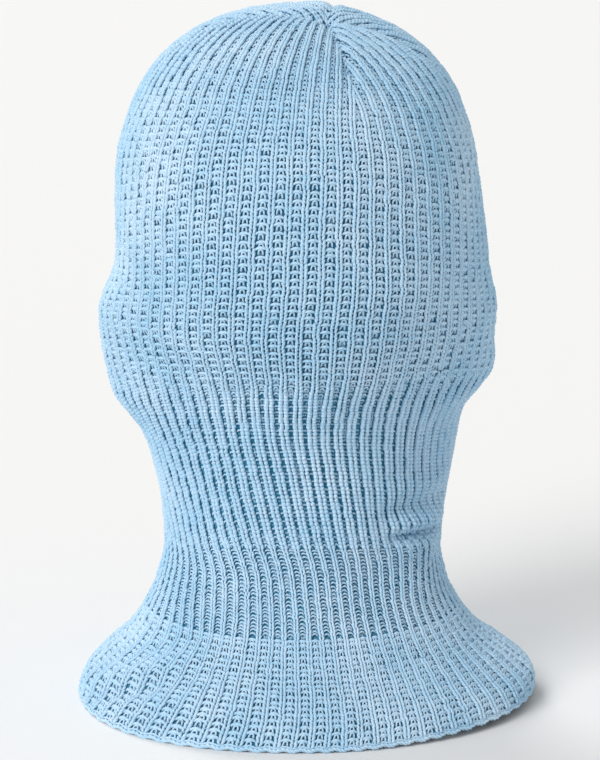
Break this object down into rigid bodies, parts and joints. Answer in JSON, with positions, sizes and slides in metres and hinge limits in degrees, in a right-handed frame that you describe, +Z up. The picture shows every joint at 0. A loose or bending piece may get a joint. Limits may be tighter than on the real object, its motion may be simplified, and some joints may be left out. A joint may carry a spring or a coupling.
{
  "type": "balaclava",
  "caption": "Ribbed knitted full-head hood with a trimmed face opening, a snug neck band and a flared collar",
  "frame": {"origin": "centre of the hem ring, on the plane that the hem rests on", "axes": "+Z up to the crown, -Y the way the face opening looks, +X towards the wearer's left"},
  "size_m": [0.2002, 0.202, 0.3002],
  "materials": {
    "cardigan_rib": "half-cardigan rib knit, soft and slightly fuzzy, light sky blue",
    "plain_rib": "tight one-by-one rib knit, light sky blue",
    "trim_rib": "firm rib band, light sky blue",
    "seam_thread": "linking yarn, light sky blue",
    "label_tape": "plain white satin tape, blank"
  },
  "bodies": {
    "hood": {"hem_edge": "cardigan_rib", "collar_back": "cardigan_rib", "collar_right": "cardigan_rib", "collar_front": "cardigan_rib", "collar_left": "cardigan_rib", "jaw_zone_back": "cardigan_rib", "jaw_zone_right": "cardigan_rib", "jaw_zone_front": "cardigan_rib", "jaw_zone_left": "cardigan_rib", "head_back": "cardigan_rib", "ear_side_right": "cardigan_rib", "ear_side_left": "cardigan_rib", "brow_panel": "cardigan_rib", "mouth_panel": "cardigan_rib", "crown_gore_back_right": "cardigan_rib", "crown_gore_front_right": "cardigan_rib", "crown_gore_front_left": "cardigan_rib", "crown_gore_back_left": "cardigan_rib", "neck_band": "plain_rib", "face_trim_upper": "trim_rib", "face_trim_lower": "trim_rib", "dart_seam_back": "seam_thread", "dart_seam_right": "seam_thread", "dart_seam_front": "seam_thread", "dart_seam_left": "seam_thread", "crown_tack": "seam_thread", "linking_seam_upper": "seam_thread", "linking_seam_lower": "seam_thread", "chin_seam": "seam_thread", "label_stitches": "seam_thread", "label_header": "label_tape"},
    "label": {"care_label": "label_tape"}
  },
  "joints": [
    {"name": "label_flap", "type": "hinge", "parent": "hood", "child": "label", "pos_m": [0, 0.0494, 0.07], "axis": [1, 0, 0], "range_deg": [-120, 8]}
  ]
}
